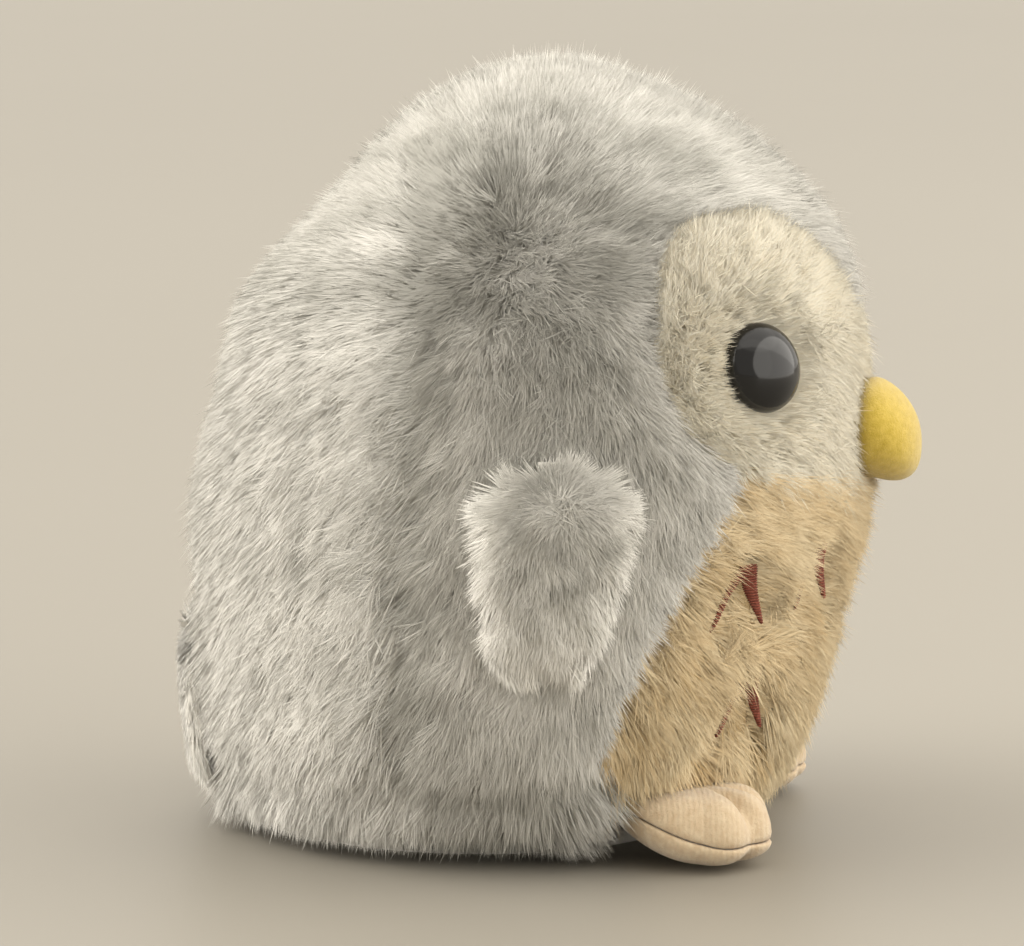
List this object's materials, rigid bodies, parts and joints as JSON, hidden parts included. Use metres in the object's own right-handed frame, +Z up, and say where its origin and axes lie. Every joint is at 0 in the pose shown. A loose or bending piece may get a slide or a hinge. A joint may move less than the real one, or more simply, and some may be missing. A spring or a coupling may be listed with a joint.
{
  "type": "plush owl chick toy",
  "caption": "Small sitting plush owl chick with long shaggy fur, glossy eyes, a sewn beak, stitched belly marks, loose wings and tail, and padded feet.",
  "frame": {"origin": "on the floor, under the middle of the whole toy's bounding box", "axes": "+Z up, -Y out of the face and beak, +X to the bird's left wing"},
  "size_m": [0.1084, 0.1046, 0.1075],
  "materials": {
    "grey_fur": "long shaggy pile, matte",
    "cream_fur": "short curly pile, matte",
    "tan_fur": "medium pile, matte",
    "peach_velour": "short ribbed velour, matte",
    "yellow_felt": "short velour, matte",
    "brown_thread": "satin-stitched embroidery thread",
    "grey_thread": "sewing thread",
    "white_fibre": "polyester fibre filling and bag cloth",
    "black_plastic": "polished black",
    "clear_plastic": "plain milky plastic"
  },
  "bodies": {
    "torso": {"crown_panel": "grey_fur", "back_panel": "grey_fur", "side_panel_left": "grey_fur", "side_panel_right": "grey_fur", "face_panel_left": "cream_fur", "face_panel_right": "cream_fur", "belly_panel_left": "tan_fur", "belly_panel_right": "tan_fur", "base_band": "grey_fur", "base_panel": "grey_fur", "body_stuffing": "white_fibre", "pellet_bag": "white_fibre", "pellets": "clear_plastic", "eye_button_left": "black_plastic", "eye_button_right": "black_plastic", "eye_washer_left": "clear_plastic", "eye_washer_right": "clear_plastic", "beak_cover": "yellow_felt", "beak_stuffing": "white_fibre", "belly_mark_outer_left": "brown_thread", "belly_mark_outer_right": "brown_thread", "belly_mark_inner_left": "brown_thread", "belly_mark_inner_right": "brown_thread", "belly_mark_lower_left": "brown_thread", "belly_mark_lower_right": "brown_thread"},
    "wing_left": {"wing_outer_left": "grey_fur", "wing_lining_left": "grey_fur", "wing_stitches_left": "grey_thread"},
    "wing_right": {"wing_outer_right": "grey_fur", "wing_lining_right": "grey_fur", "wing_stitches_right": "grey_thread"},
    "tail": {"tail_outer": "grey_fur", "tail_lining": "grey_fur", "tail_stitches": "grey_thread"},
    "foot_left": {"foot_upper_left": "peach_velour", "foot_sole_left": "peach_velour", "foot_stuffing_left": "white_fibre", "foot_stitches_left": "grey_thread"},
    "foot_right": {"foot_upper_right": "peach_velour", "foot_sole_right": "peach_velour", "foot_stuffing_right": "white_fibre", "foot_stitches_right": "grey_thread"}
  },
  "joints": [
    {"name": "wing_left_lift", "type": "hinge", "parent": "torso", "child": "wing_left", "pos_m": [0.04751, -0.00734, 0.05778], "axis": [-0.1736, -0.9848, 0], "range_deg": [0, 75]},
    {"name": "wing_right_lift", "type": "hinge", "parent": "torso", "child": "wing_right", "pos_m": [-0.04751, -0.00734, 0.05778], "axis": [-0.1736, 0.9848, 0], "range_deg": [0, 75]},
    {"name": "tail_lift", "type": "hinge", "parent": "torso", "child": "tail", "pos_m": [0, 0.05082, 0.028], "axis": [1, 0, 0], "range_deg": [0, 60]},
    {"name": "foot_left_tilt", "type": "hinge", "parent": "torso", "child": "foot_left", "pos_m": [0.02256, -0.01131, 0.00835], "axis": [-0.9781, -0.2079, 0], "range_deg": [-12, 8]},
    {"name": "foot_right_tilt", "type": "hinge", "parent": "torso", "child": "foot_right", "pos_m": [-0.02256, -0.01131, 0.00835], "axis": [-0.9781, 0.2079, 0], "range_deg": [-12, 8]}
  ]
}
